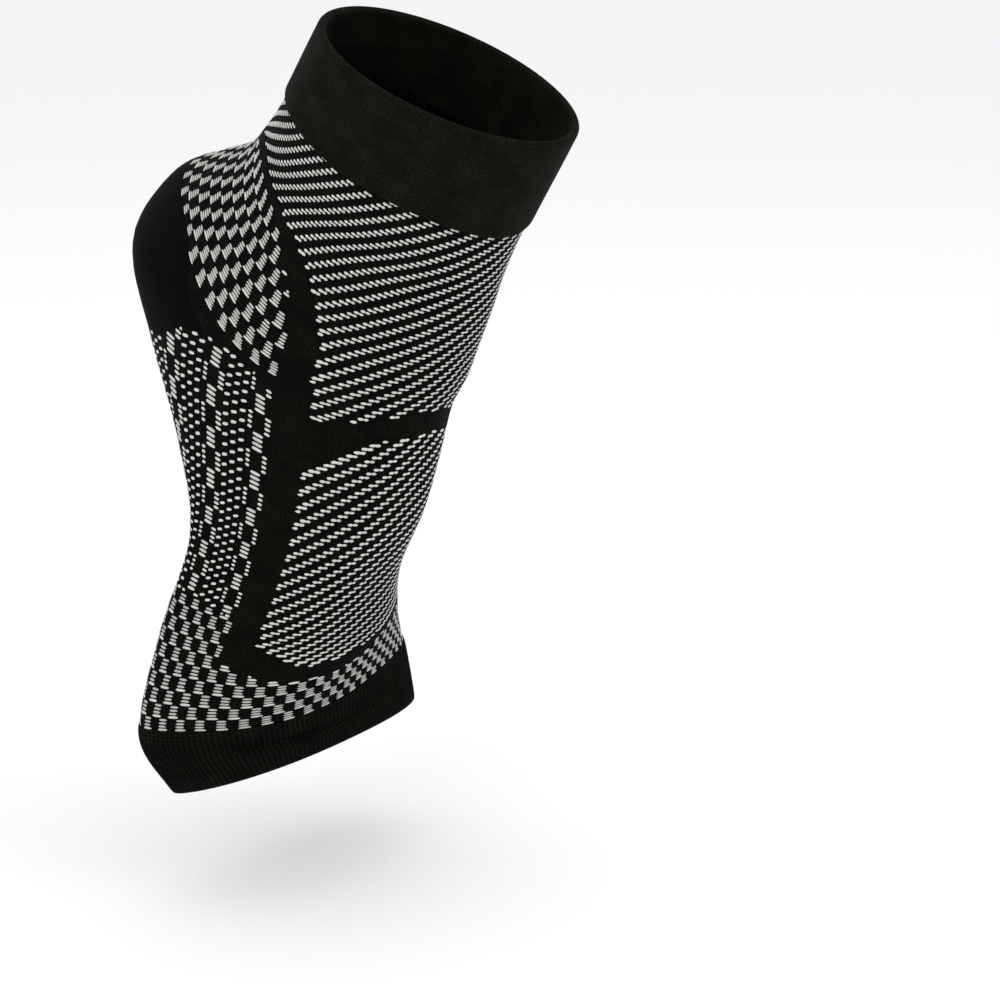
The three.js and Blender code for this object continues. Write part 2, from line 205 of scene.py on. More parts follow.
def black_knit(name, deep, pale, relief, gap_shade):
    """Black elastic knit: rows of small swelling stitches, dull and speckled, with painted shade in the gaps
    and patches of painted sheen.
    """
    material = bpy.data.materials.new(name)
    material.use_nodes = True
    nodes, links = material.node_tree.nodes, material.node_tree.links
    shader = nodes["Principled BSDF"]
    shader.inputs["Specular IOR Level"].default_value = 0.03
    shader.inputs["Sheen Weight"].default_value = 0.005
    shader.inputs["Sheen Roughness"].default_value = 0.45

    # Each stitch swells to an oval in its own cell of the count.
    stitches = nodes.new("ShaderNodeUVMap")
    stitches.uv_map = "stitches"
    cell = nodes.new("ShaderNodeVectorMath")
    cell.operation = "FRACTION"
    centred = nodes.new("ShaderNodeVectorMath")
    centred.operation = "MULTIPLY_ADD"
    centred.inputs[1].default_value = (*CELL_IN_OVALS, 0)
    centred.inputs[2].default_value = (*(-side / 2 for side in CELL_IN_OVALS), 0)
    square = nodes.new("ShaderNodeVectorMath")
    square.operation = "DOT_PRODUCT"
    oval = nodes.new("ShaderNodeMath")
    oval.operation = "SUBTRACT"
    oval.use_clamp = True
    oval.inputs[0].default_value = 1.0
    swell = nodes.new("ShaderNodeMath")
    swell.operation = "SQRT"
    links.new(stitches.outputs["UV"], cell.inputs[0])
    links.new(cell.outputs["Vector"], centred.inputs[0])
    links.new(centred.outputs["Vector"], square.inputs[0])
    links.new(centred.outputs["Vector"], square.inputs[1])
    links.new(square.outputs["Value"], oval.inputs[1])
    links.new(oval.outputs["Value"], swell.inputs[0])

    # Loose fibre roughens the yarn and speckles it, and patches of painted sheen lighten the cloth at random.
    fibre = nodes.new("ShaderNodeTexNoise")
    fibre.inputs["Scale"].default_value = 2.2
    fibre.inputs["Detail"].default_value = 3.0
    sheen_patches = nodes.new("ShaderNodeTexNoise")
    sheen_patches.inputs["Scale"].default_value = 0.16
    sheen_patches.inputs["Detail"].default_value = 4.0
    links.new(stitches.outputs["UV"], fibre.inputs["Vector"])
    links.new(stitches.outputs["UV"], sheen_patches.inputs["Vector"])
    height = nodes.new("ShaderNodeMath")
    height.operation = "MULTIPLY_ADD"
    height.inputs[1].default_value = FIBRE_RELIEF
    links.new(fibre.outputs["Fac"], height.inputs[0])
    links.new(swell.outputs["Value"], height.inputs[2])
    bump = nodes.new("ShaderNodeBump")
    bump.inputs["Strength"].default_value = relief
    bump.inputs["Distance"].default_value = STITCH_RELIEF * MM
    links.new(height.outputs["Value"], bump.inputs["Height"])
    links.new(bump.outputs["Normal"], shader.inputs["Normal"])

    # Painted shade darkens the gaps between stitches, so a stitch is palest on top, and painted sheen
    # lightens it more in a patch.
    # Painted sheen: random patches where the colour is paler, as if the nylon glinted.
    painted_sheen = nodes.new("ShaderNodeMapRange")
    painted_sheen.inputs["From Min"].default_value = 0.4
    painted_sheen.inputs["From Max"].default_value = 0.72
    painted_sheen.inputs["To Min"].default_value = 0.4
    links.new(sheen_patches.outputs["Fac"], painted_sheen.inputs["Value"])
    gap_shaded = nodes.new("ShaderNodeMath")
    gap_shaded.operation = "MULTIPLY_ADD"
    gap_shaded.inputs[1].default_value = gap_shade
    gap_shaded.inputs[2].default_value = 1 - gap_shade
    links.new(swell.outputs["Value"], gap_shaded.inputs[0])
    speckled = nodes.new("ShaderNodeMapRange")
    speckled.inputs["From Min"].default_value = 0.3
    speckled.inputs["From Max"].default_value = 0.7
    speckled.inputs["To Min"].default_value = 0.2
    speckled.inputs["To Max"].default_value = 1.5
    links.new(fibre.outputs["Fac"], speckled.inputs["Value"])
    yarn = nodes.new("ShaderNodeMath")
    yarn.operation = "MULTIPLY"
    links.new(gap_shaded.outputs["Value"], yarn.inputs[0])
    links.new(speckled.outputs["Result"], yarn.inputs[1])
    shade = nodes.new("ShaderNodeMath")
    shade.operation = "MULTIPLY"
    links.new(yarn.outputs["Value"], shade.inputs[0])
    links.new(painted_sheen.outputs["Result"], shade.inputs[1])
    # The colour runs from deep in the painted shade to pale in the painted sheen.
    dye_and_shade = nodes.new("ShaderNodeValToRGB")
    dye_and_shade.color_ramp.elements[0].color = (*deep, 1)
    dye_and_shade.color_ramp.elements[1].color = (*pale, 1)
    dye_and_shade.color_ramp.elements[1].position = 0.9
    links.new(shade.outputs["Value"], dye_and_shade.inputs["Fac"])
    links.new(dye_and_shade.outputs["Color"], shader.inputs["Base Color"])
    dullness = nodes.new("ShaderNodeMapRange")
    dullness.inputs["To Min"].default_value = 0.95
    dullness.inputs["To Max"].default_value = 0.72
    links.new(fibre.outputs["Fac"], dullness.inputs["Value"])
    links.new(dullness.outputs["Result"], shader.inputs["Roughness"])
    return material


# Course lines, where the knit changes along the tube, by their distance from the leg rim round the tube.
LINE_STATIONS = (0, 0.07, 0.13, 0.2, 0.26, 0.34, 0.5, 0.66, 0.74, 0.8, 0.87, 0.93)
COURSE_LINES = {
    "cuffHem": (29, 28, 27.2, 27.2, 27.2, 26.8, 26.6, 26.8, 27.2, 27.6, 28, 28.6),
    "collarTop": (41, 41.5, 42, 43, 43.8, 44.6, 44, 44.6, 43.8, 43, 42, 41.5),
    "collarBase": (46.5, 47, 48, 49.4, 50, 49.2, 47.6, 49.2, 50, 49.4, 48, 47),
    "crossTop": (97, 106.5, 114, 105.5, 103.5, 86, 77.5, 86, 103.5, 105.5, 114, 106.5),
    "crossBase": (108, 117, 133, 120, 106, 117.5, 130, 117.5, 106, 120, 133, 117),
    "borderTop": (206.5, 207.3, 201.5, 192, 190, 190, 192, 190, 190, 190.5, 194.5, 200.5),
    "borderBase": (211.6, 212.5, 209.8, 204, 203, 204, 205, 204, 202, 197.5, 198, 203.5),
    "toeWelt": (226.2, 227.2, 225.9, 224, 223.8, 224, 224, 224, 223.5, 222.2, 221, 222.2),
}


def line_at(name, around):
    """Where a course line lies along the tube, in mm, for shares of the way round."""
    values, knots = COURSE_LINES[name], LINE_STATIONS
    wrapped = np.array([values[-1], *values, values[0], values[1]], float)[:, None]
    wrapped_knots = np.array([knots[-1] - 1, *knots, 1, 1 + knots[1]])
    return smooth_rows(wrapped_knots, wrapped, (around % 1.0).ravel())[:, 0].reshape(around.shape)


CUFF_TALL = 27.2
CUFF_RISE = 1.2
CUFF_WALL = 2.6
CUFF_CROWN = 0.1
CUFF_HEM_ROUND = 1.0
CUFF_COLUMNS = 296
CUFF_FACE_ROWS = 40
ROUND_ROWS = 9

cuff_fold = CUFF_WALL / 2
cuff_lining = CUFF_RISE - CUFF_WALL
face_along = np.linspace(cuff_fold, CUFF_TALL - CUFF_HEM_ROUND, CUFF_FACE_ROWS)
face_rise = CUFF_RISE + CUFF_CROWN * np.sin(np.pi * face_along / CUFF_TALL)
quarter = np.linspace(0, np.pi / 2, ROUND_ROWS)[1:]
hem_along = CUFF_TALL - CUFF_HEM_ROUND * (1 - np.sin(quarter))
hem_rise = face_rise[-1] - CUFF_HEM_ROUND * (1 - np.cos(quarter))
lining_along = np.linspace(CUFF_TALL, cuff_fold, CUFF_FACE_ROWS)
lining_rise = np.full(CUFF_FACE_ROWS, cuff_lining)
turn = np.linspace(0, np.pi, 2 * ROUND_ROWS)[1:-1]
rim_along = cuff_fold * (1 - np.sin(turn))
rim_rise = cuff_lining + cuff_fold * (1 - np.cos(turn))
cuff_along = np.concatenate([face_along, hem_along, lining_along, rim_along])
cuff_rise = np.concatenate([face_rise, hem_rise, lining_rise, rim_rise])
cuff_hem = line_at("cuffHem", np.arange(CUFF_COLUMNS) / CUFF_COLUMNS)
cuff_along = cuff_along[:, None] * cuff_hem / CUFF_TALL
cuff = welt("cuff_welt", cuff_along, np.broadcast_to(cuff_rise[:, None], cuff_along.shape), "cuff")
PLAIN_DEEP = (0.0012, 0.0013, 0.0007)
PLAIN_PALE = (0.0090, 0.0094, 0.0064)
plain_black = black_knit("plain_black_knit", PLAIN_DEEP, PLAIN_PALE, relief=0.22, gap_shade=0.3)
cuff.data.materials.append(plain_black)

# The shin panel is the striped stretch knit below the cuff, black with white stepped stripes.
# It goes right round the tube under the cuff and narrows to a tongue down the front. It is knitted on from
# the cuff, and a chart of course lines and strips, shared by all zones of the tube, gives its edges.
CHART = (
    ("cuffHem", "collarTop", 8, ("shin", "shin", "shin", "shin")),
    ("collarTop", "collarBase", 4, ("shin", "frame", "frame", "frame")),
    ("collarBase", "crossTop", 30, ("shin", "frame", "ankle", "ankle")),
    ("crossTop", "crossBase", 18, ("frame", "frame", "arch", "heel")),
    ("crossBase", "borderTop", 42, ("instep", "frame", "arch", "arch")),
    ("borderTop", "borderBase", 7, ("frame", "frame", "forefoot", "forefoot")),
    ("borderBase", "toeWelt", 10, ("forefoot", "forefoot", "forefoot", "forefoot")),
)
STRIP_COLUMNS = (27, 9, 12, 18)
SETTLE_STEPS = 16


def strip_edges(along):
    """The strips' edges at places along the tube, as shares of the way round from the front."""
    values = smooth_rows(stations, section_rows[:, -3:], along.ravel())
    ends = np.zeros((len(values), 1))
    return np.hstack([ends, values, ends + 0.5])


strip_shares = np.concatenate([strip + np.arange(count) / count for strip, count in enumerate(STRIP_COLUMNS)])
half_columns = len(strip_shares)
strip_shares = np.concatenate([strip_shares, [len(STRIP_COLUMNS)], strip_shares[:0:-1]])
ring_columns = len(strip_shares)
inner_half = np.arange(ring_columns) <= half_columns


def grid_row(upper, lower, share):
    """One row of the chart's grid. Its lines and columns bend each other, so it is settled by repeats."""
    along = line_at(upper, np.zeros(ring_columns))
    strip = np.minimum(strip_shares.astype(int), len(STRIP_COLUMNS) - 1)
    for _ in range(SETTLE_STEPS):
        edges = strip_edges(along)
        each = np.arange(ring_columns)
        half = edges[each, strip] + (strip_shares - strip) * (edges[each, strip + 1] - edges[each, strip])
        around = np.where(inner_half, half, 1 - half)
        start = line_at(upper, around)
        along = start + share * (line_at(lower, around) - start)
    return along, around


grid_along, grid_round, grid_zones = [], [], []
for upper, lower, rows, strips in CHART:
    strip_zones = [zone for zone, count in zip(strips, STRIP_COLUMNS) for _ in range(count)]
    for row in range(rows):
        along, around = grid_row(upper, lower, row / rows)
        grid_along.append(along)
        grid_round.append(around)
        grid_zones.append(strip_zones + strip_zones[::-1])
along, around = grid_row("borderBase", "toeWelt", 1.0)
grid_along = np.array([*grid_along, along])
grid_round = np.array([*grid_round, around])
grid_zones = np.array(grid_zones)

# Zones stop this far short of their shared edge, so that each is a cloth of its own.
EDGE_CLEAR = 0.02
SHARP_EDGE = np.radians(55)
SMALLEST_LENGTH = 1e-12


def knit_wall(name, zone, wall, rise, node):
    """A zone's cloth: its face and its lining, a wall apart, closed along the zone's edges."""
    inside = grid_zones == zone
    columns = inside.shape[1]
    padded = np.pad(inside, ((1, 1), (0, 0)))
    cells_above = padded[:-1] + 0 + np.roll(padded[:-1], 1, axis=1)
    cells_below = padded[1:] + 0 + np.roll(padded[1:], 1, axis=1)
    used = cells_above + cells_below > 0
    number = np.cumsum(used.ravel()).reshape(used.shape) - 1
    total = int(used.sum())
    face = on_tube(grid_along, grid_round, np.full(grid_along.shape, rise))
    lining = on_tube(grid_along, grid_round, np.full(grid_along.shape, rise - wall))

    # The corners on the zone's edge draw back towards its own cells.
    beside = np.roll(face, -1, axis=1)
    centres = (face[:-1] + beside[:-1] + face[1:] + beside[1:]) / 4
    pull = np.zeros_like(face)
    i, j = np.nonzero(inside)
    k = (j + 1) % columns
    for row, column in ((i, j), (i, k), (i + 1, j), (i + 1, k)):
        np.add.at(pull, (row, column), centres[i, j] - face[row, column])
    edge = used & (cells_above + cells_below < 4)
    length = np.maximum(np.linalg.norm(pull, axis=-1, keepdims=True), SMALLEST_LENGTH)
    shift = np.where(edge[..., None], pull / length * EDGE_CLEAR * MM, 0)
    points = np.concatenate([(face + shift)[used], (lining + shift)[used]])

    # Faces go round each cell. A cell that closes the ring counts its far side as a full turn.
    corners = ((i, j), (i, k), (i + 1, k), (i + 1, j))
    corner = [number[place] for place in corners]
    closes_ring = k == 0
    near = [grid_round[i, j], grid_round[i + 1, j]]
    far = [np.where(closes_ring, grid_round[row, k] + 1, grid_round[row, k]) for row in (i, i + 1)]
    around = [near[0], far[0], far[1], near[1]]
    along = [grid_along[place] for place in corners]
    counts = [np.stack([turn * WALES_ROUND, way / PLAIN_COURSE], -1) for turn, way in zip(around, along)]
    open_side = [
        ~padded[:-2][i, j],
        ~np.roll(inside, -1, axis=1)[i, j],
        ~padded[2:][i, j],
        ~np.roll(inside, 1, axis=1)[i, j],
    ]
    quads = [np.stack(corner, -1), np.stack([c + total for c in corner[::-1]], -1)]
    quad_counts = [np.stack(counts, 1), np.stack(counts[::-1], 1)]
    for side in range(4):
        a, b = corner[side][open_side[side]], corner[(side + 1) % 4][open_side[side]]
        start, end = counts[side][open_side[side]], counts[(side + 1) % 4][open_side[side]]
        quads.append(np.stack([a, a + total, b + total, b], -1))
        quad_counts.append(np.stack([start, start, end, end], 1))
    faces = np.concatenate(quads).tolist()
    piece = knit_object(name, points, faces, np.concatenate(quad_counts), node)
    piece.data.set_sharp_from_angle(angle=SHARP_EDGE)
    return piece


def zone_at(along, around):
    """The zone of the chart at places on the tube."""
    turn = around % 1.0
    half = np.minimum(turn, 1 - turn)
    edges = strip_edges(along)
    strip = (half[:, None] >= edges[:, 1:-1]).sum(axis=1)
    zone = np.full(along.shape, "none", dtype=object)
    for upper, lower, _, strips in CHART:
        between = (along >= line_at(upper, turn)) & (along < line_at(lower, turn))
        zone[between] = np.array(strips, dtype=object)[strip[between]]
    return zone


SHIN_WALL = 1.5
shin_panel = knit_wall("shin_panel_knit", "shin", SHIN_WALL, 0.0, "shin_panel")
PANEL_DEEP = (0.0008, 0.0009, 0.0006)
PANEL_PALE = (0.0054, 0.0058, 0.0040)
panel_black = black_knit("panel_black_knit", PANEL_DEEP, PANEL_PALE, relief=0.4, gap_shade=0.7)
shin_panel.data.materials.append(panel_black)

# The stripes are white yarn knitted in with the black. On each wale two stitches of four are white, and each
# wale's pair stands one course higher than its inner neighbour's, which makes the stepped stripes.
# The worn panel is pulled out of square, so a table gives some of its courses as they lie at wale 0: distance
# from the leg rim, drop and bend over ten wales, share of the way round, width and spread of ten wales.
STRIPE_COURSES = 4
WHITE_COURSES = 2
TEN_WALES = 10
SHIN_COURSES = (0, 8, 22, 36, 50, 64, 76)
SHIN_STRETCH = (
    (13.5, -1.0, 0.30, 0.134, 0.0645, -0.0008),
    (23.3, -0.9, 0.35, 0.132, 0.0648, -0.0008),
    (39.7, 0.2, 0.05, 0.128, 0.0658, -0.0006),
    (54.7, 1.2, -0.13, 0.122, 0.0647, -0.0004),
    (73.6, 4.3, 0.31, 0.105, 0.0616, 0.0020),
    (95.8, 6.0, -0.22, 0.087, 0.0586, 0.0037),
    (115.9, 1.2, -1.60, 0.084, 0.0666, 0.0075),
)
SHIN_FRONT_WALE = -20
SHIN_CLIMB = 4.0
SHIN_CLIMB_WALES = (28, 46)
# White stitches, with the length in wales, the height in courses and the tone. On each wale the upper one is
# the fuller and the paler. Those at the panel's sides, or at its ends, are pulled out by the bold amounts.
UPPER_STITCH = (0.98, 0.78, 0.96)
LOWER_STITCH = (0.88, 0.70, 0.82)
BOLD_STITCH = (0.2, 0.1, 0.16)
SIDE_REACH = 1.2
END_REACH = 2.2
SPARE_WALES = 4
STITCH_RINGS = 4
STITCH_SIDES = 6
STITCH_THICK = 0.2
STITCH_LIFT = 0.03
STITCH_LEAN = 0.085
YARN_STARTS = 9
TONE_LEAST = 0.9
TONE_VARIES = 0.2
TONE_MOST = 1.2
SEED = 7
chance = np.random.default_rng(SEED)


def stitch_form(rings, sides, blunt):
    """A swell of yarn of unit half length, from point to point, and its faces. Blunt ends are fuller."""
    lengths = -np.cos(np.linspace(0, np.pi, rings + 2))[1:-1]
    girths = np.sqrt(1 - np.abs(lengths) ** blunt)
    angle = 2 * np.pi * (np.arange(sides) + 0.5) / sides
    ring_points = [np.stack([np.full(sides, x), g * np.cos(angle), g * np.sin(angle)], -1)
                   for x, g in zip(lengths, girths)]
    points = np.concatenate([[[-1, 0, 0]], *ring_points, [[1, 0, 0]]])
    last = len(points) - 1
    faces = []
    for side in range(sides):
        over = (side + 1) % sides
        faces.append([0, 1 + over, 1 + side])
        faces.append([last, last - sides + side, last - sides + over])
        for ring in range(rings - 1):
            a, b = 1 + ring * sides + side, 1 + ring * sides + over
            faces.append([a, b, b + sides, a + sides])
    return points, faces


def white_stitches(name, place, wale, course, length, height, tilt=0.0, blunt=2.0, tone=1.0):
    """White stitches, joined in one mesh. place() finds a count of wales and courses on the tube, and each
    stitch lies along its course there, with a length in wales, a height in courses and a tilt in courses."""
    length, height, tone = (np.broadcast_to(value, wale.shape) for value in (length, height, tone))
    start = on_tube(*place(wale - length / 2, course - tilt / 2))
    end = on_tube(*place(wale + length / 2, course + tilt / 2))
    upper = on_tube(*place(wale, course - height / 2))
    lower = on_tube(*place(wale, course + height / 2))
    centre_along, centre_round = place(wale, course)
    normal = read_net(tube_normals, centre_along, centre_round)
    centre = on_tube(centre_along, centre_round, np.full(wale.shape, STITCH_LIFT))
    lengthwise = (end - start) / 2
    across = np.cross(normal, lengthwise)
    across /= np.linalg.norm(across, axis=-1, keepdims=True)
    tall = np.linalg.norm(lower - upper, axis=-1) / 2
    form, form_faces = stitch_form(STITCH_RINGS, STITCH_SIDES, blunt)
    x, y, z = form[:, 0, None], form[:, 1, None], form[:, 2, None]
    points = (
        centre[:, None]
        + x * lengthwise[:, None]
        + y * (across * tall[:, None])[:, None]
        + z * (normal * STITCH_THICK * MM)[:, None]
    )
    first = np.arange(len(wale)) * len(form)
    faces = [[int(f) + corner for corner in face] for f in first for face in form_faces]
    corners = np.concatenate(form_faces)
    yarn = np.stack([form[:, 0], np.arctan2(form[:, 2], form[:, 1]) / np.pi], -1)[corners]
    starts = np.repeat(chance.random((len(wale), 1)) * YARN_STARTS, len(corners), axis=0)
    counts = np.tile(yarn, (len(wale), 1)) + starts
    piece = knit_object(name, points.reshape(-1, 3), faces, counts)
    uneven = TONE_LEAST + TONE_VARIES * chance.random(len(wale))
    shades = np.repeat(np.clip(tone * uneven, 0, TONE_MOST), len(form))
    piece.data.attributes.new("tone", "FLOAT", "POINT").data.foreach_set("value", shades.astype(np.float32))
    return piece


TWIST_RELIEF = 0.15
TWIST_SHADE = 0.18


def white_yarn(name, dull, bright):
    """White textured yarn: fine filaments twisted together, with painted shade in the grooves of the twist
    and each stitch at its own tone.
    """
    material = bpy.data.materials.new(name)
    material.use_nodes = True
    nodes, links = material.node_tree.nodes, material.node_tree.links
    shader = nodes["Principled BSDF"]
    shader.inputs["Roughness"].default_value = 0.8
    shader.inputs["Specular IOR Level"].default_value = 0.3
    shader.inputs["Sheen Weight"].default_value = 0.2
    count = nodes.new("ShaderNodeUVMap")
    count.uv_map = "stitches"
    twist = nodes.new("ShaderNodeTexWave")
    twist.wave_type = "BANDS"
    twist.bands_direction = "DIAGONAL"
    twist.inputs["Scale"].default_value = 1.6
    twist.inputs["Distortion"].default_value = 3.0
    twist.inputs["Detail"].default_value = 2.0
    links.new(count.outputs["UV"], twist.inputs["Vector"])
    bump = nodes.new("ShaderNodeBump")
    bump.inputs["Strength"].default_value = 0.35
    bump.inputs["Distance"].default_value = TWIST_RELIEF * MM
    links.new(twist.outputs["Fac"], bump.inputs["Height"])
    links.new(bump.outputs["Normal"], shader.inputs["Normal"])
    tone = nodes.new("ShaderNodeAttribute")
    tone.attribute_name = "tone"
    # Painted shade: the colour is duller in the grooves of the twist and brighter on its crests.
    groove_shade = nodes.new("ShaderNodeMath")
    groove_shade.operation = "MULTIPLY_ADD"
    groove_shade.inputs[1].default_value = TWIST_SHADE
    links.new(twist.outputs["Fac"], groove_shade.inputs[0])
    links.new(tone.outputs["Fac"], groove_shade.inputs[2])
    dye_and_shade = nodes.new("ShaderNodeValToRGB")
    dye_and_shade.color_ramp.elements[0].color = (*dull, 1)
    dye_and_shade.color_ramp.elements[0].position = 0.35
    dye_and_shade.color_ramp.elements[1].color = (*bright, 1)
    dye_and_shade.color_ramp.elements[1].position = 1.0
    links.new(groove_shade.outputs["Value"], dye_and_shade.inputs["Fac"])
    links.new(dye_and_shade.outputs["Color"], shader.inputs["Base Color"])
    return material


def stretched_place(courses, stretch, front_wale, wale, course):
    """A count on a striped panel. Beyond its front wale the panel is pulled as on the inner side."""
    rows = smooth_rows(np.array(courses, float), np.array(stretch), course)
    along, drop, bend, around, width, spread = rows.T
    tens = (front_wale + np.abs(wale - front_wale)) / TEN_WALES
    front_tens = front_wale / TEN_WALES
    share = around + width * tens + spread * tens**2
    front_share = around + width * front_tens + spread * front_tens**2
    return along + drop * tens + bend * tens**2, np.where(wale < front_wale, 2 * front_share - share, share)


def shin_place(wale, course):
    """A count on the shin panel, whose courses climb a little towards the back."""
    along, around = stretched_place(SHIN_COURSES, SHIN_STRETCH, SHIN_FRONT_WALE, wale, course)
    first, last = SHIN_CLIMB_WALES
    backward = SHIN_FRONT_WALE + np.abs(wale - SHIN_FRONT_WALE)
    share = np.clip((backward - first) / (last - first), 0, 1)
    return along - SHIN_CLIMB * share**2 * (3 - 2 * share), around


def stripe_stitches(name, zone, place, front_wale, last_course, bold_steps):
    """The white stitches of a striped panel. Those are bold that have another zone a step away, where the
    steps to look for it are given in wales and courses."""
    wales_each_way = WALES_ROUND // 2 + SPARE_WALES
    wale, course = np.meshgrid(
        np.arange(front_wale - wales_each_way, front_wale + wales_each_way),
        np.arange(last_course),
        indexing="ij",
    )
    step = (course - wale) % STRIPE_COURSES
    is_white = step < WHITE_COURSES
    wale, course, upper = wale[is_white] + 0.5, course[is_white] + 0.5, step[is_white] == 0
    along, around = place(wale, course)
    here = (zone_at(along, around) == zone) & (np.abs(around) <= 0.5)
    wale, course, upper = wale[here], course[here], upper[here]
    bold = np.any([zone_at(*place(wale + over, course + down)) != zone for over, down in bold_steps], axis=0)
    length, height, tone = (
        np.where(upper, in_upper, in_lower) + more * bold
        for in_upper, in_lower, more in zip(UPPER_STITCH, LOWER_STITCH, BOLD_STITCH)
    )
    leaning = wale + np.where(upper, -STITCH_LEAN, STITCH_LEAN)
    piece = white_stitches(name, place, leaning, course, length, height, tone=tone)
    piece.data.materials.append(pattern_white)


WHITE_DULL = (0.22, 0.22, 0.21)
WHITE_BRIGHT = (0.55, 0.55, 0.53)
pattern_white = white_yarn("white_yarn", WHITE_DULL, WHITE_BRIGHT)
side_steps = ((SIDE_REACH, 0), (-SIDE_REACH, 0))
stripe_stitches("shin_stripes", "shin", shin_place, SHIN_FRONT_WALE, SHIN_COURSES[-1], side_steps)

# The support frame is the plain black bands, of the cuff's yarn but knitted denser than the panels, so that
# they give little. A collar goes round the back, a band down each side, a cross band over the bend of the
# tube and a border below the instep panel, all knitted in one with the panels that they part.
FRAME_WALL = 1.8
FRAME_RISE = 0.15
FRAME_DEEP = (0.0008, 0.0009, 0.0005)
FRAME_PALE = (0.0054, 0.0058, 0.0039)
support_frame = knit_wall("support_frame_knit", "frame", FRAME_WALL, FRAME_RISE, "support_frame")
dense_black = black_knit("dense_black_knit", FRAME_DEEP, FRAME_PALE, relief=0.35, gap_shade=0.5)
support_frame.data.materials.append(dense_black)

# The ankle panel is checked stretch knit at the tube's bend, on both sides and behind, knitted in the frame.
# A check is two wales wide and five courses tall, each course of it one stroke of white yarn, the lowest the
# longest. The cloth is pulled towards the heel, so wales spread and courses sink towards the front.
ANKLE_WALL = 1.5
CHECK_WALES = 2
ANKLE_CHECK_COURSES = 5
ANKLE_FIRST_ROW = -6
ANKLE_LAST_ROW = 5
ANKLE_COLUMNS = 28
ANKLE_COLUMN = 0.0123
ANKLE_COLUMN_SPREAD = (0.0006, -0.000024, -4.4e-7)
ANKLE_BACK = 54.2
ANKLE_ROW = 5.28
ANKLE_ROW_CLOSING = -0.175
ANKLE_SINK = (0.0722, 0.0021, -0.000068)
ANKLE_LOWEST_STROKE = (2.2, 0.84, 0.94)
ANKLE_STROKE = (1.75, 0.74, 0.7)
ANKLE_TOP_STROKE = (1.35, 0.74, 0.7)
ANKLE_LOWEST_BACK = 0.15
ANKLE_TILT = 0.1
STROKE_BLUNT = 4.0
ankle_panel = knit_wall("ankle_panel_knit", "ankle", ANKLE_WALL, 0.0, "ankle_panel")
ankle_panel.data.materials.append(panel_black)


def ankle_place(wale, course):
    """A count on the ankle panel, from the middle of the back, where the first row of checks is centred."""
    column, row = wale / CHECK_WALES, course / ANKLE_CHECK_COURSES
    by_row, by_row_twice, by_both = ANKLE_COLUMN_SPREAD
    spread = ANKLE_COLUMN + by_row * row + by_row_twice * row**2 + by_both * row * column**2
    sink, sink_by_row, level = ANKLE_SINK
    back = ANKLE_BACK + ANKLE_ROW * row + ANKLE_ROW_CLOSING * row**2
    along = back + (sink + sink_by_row * row) * column**2 + level * column**4
    return along, 0.5 - column * spread


def check_counts(columns, first_row, last_row, courses):
    """Counts of the strokes of a checkerboard: wale, course and the stroke's number in its check."""
    column, row, stroke = np.meshgrid(
        np.arange(-columns, columns + 1), np.arange(first_row, last_row), np.arange(courses)
    )
    white = (column + row) % 2 == 0
    column, row, stroke = column[white], row[white], stroke[white]
    return column * float(CHECK_WALES), row * courses + stroke - (courses - 1) / 2, stroke


STROKE_SPOTS = np.linspace(-0.5, 0.5, 9)
SHORTEST_STROKE = 0.25


def strokes_in_zone(name, zone, place, wale, course, length, height, tilt, blunt, tone):
    """Strokes of white yarn, each cut back to the stretch of it that lies in the zone."""
    shape = wale.shape
    length, height, tilt, tone = (np.broadcast_to(value, shape) for value in (length, height, tilt, tone))
    inside = np.array([
        zone_at(*place(wale + spot * length, course + spot * tilt)) == zone for spot in STROKE_SPOTS
    ])
    first = STROKE_SPOTS[inside.argmax(axis=0)]
    last = STROKE_SPOTS[len(STROKE_SPOTS) - 1 - inside[::-1].argmax(axis=0)]
    kept = inside.any(axis=0) & (last - first > SHORTEST_STROKE)
    middle, share = ((first + last) / 2)[kept], (last - first)[kept]
    piece = white_stitches(
        name,
        place,
        wale[kept] + middle * length[kept],
        course[kept] + middle * tilt[kept],
        share * length[kept],
        height[kept],
        share * tilt[kept],
        blunt,
        tone[kept],
    )
    piece.data.materials.append(pattern_white)


# A stroke's length is in wales, its height in courses, and its tone follows them.
ankle_rows = (ANKLE_FIRST_ROW, ANKLE_LAST_ROW + 1)
wale, course, stroke = check_counts(ANKLE_COLUMNS, *ankle_rows, ANKLE_CHECK_COURSES)
lowest = stroke == ANKLE_CHECK_COURSES - 1
length, height, tone = (
    np.where(lowest, in_lowest, np.where(stroke == 0, in_top, in_others))
    for in_lowest, in_top, in_others in zip(ANKLE_LOWEST_STROKE, ANKLE_TOP_STROKE, ANKLE_STROKE)
)
strokes_in_zone(
    "ankle_checks",
    "ankle",
    ankle_place,
    wale - np.sign(wale) * ANKLE_LOWEST_BACK * lowest,
    course,
    length,
    height,
    ANKLE_TILT * np.sign(wale),
    STROKE_BLUNT,
    tone,
)

# The heel pocket is a plain black cup of the same yarn as the frame, knitted fine and close.
# It is knitted to and fro instead of round, which gives it its fullness, and joins the panels as it grows.
HEEL_WALL = 1.7
HEEL_RISE = 0.1
heel_pocket = knit_wall("heel_pocket_knit", "heel", HEEL_WALL, HEEL_RISE, "heel_pocket")
# Its colours are darker than the frame's, which is painted shade on the heel that faces away from the lamps.
HEEL_SHADED_DEEP = (0.0004, 0.0005, 0.0003)
HEEL_SHADED_PALE = (0.0022, 0.0025, 0.0016)
heel_black = black_knit("heel_black_knit", HEEL_SHADED_DEEP, HEEL_SHADED_PALE, relief=0.25, gap_shade=0.4)
heel_pocket.data.materials.append(heel_black)

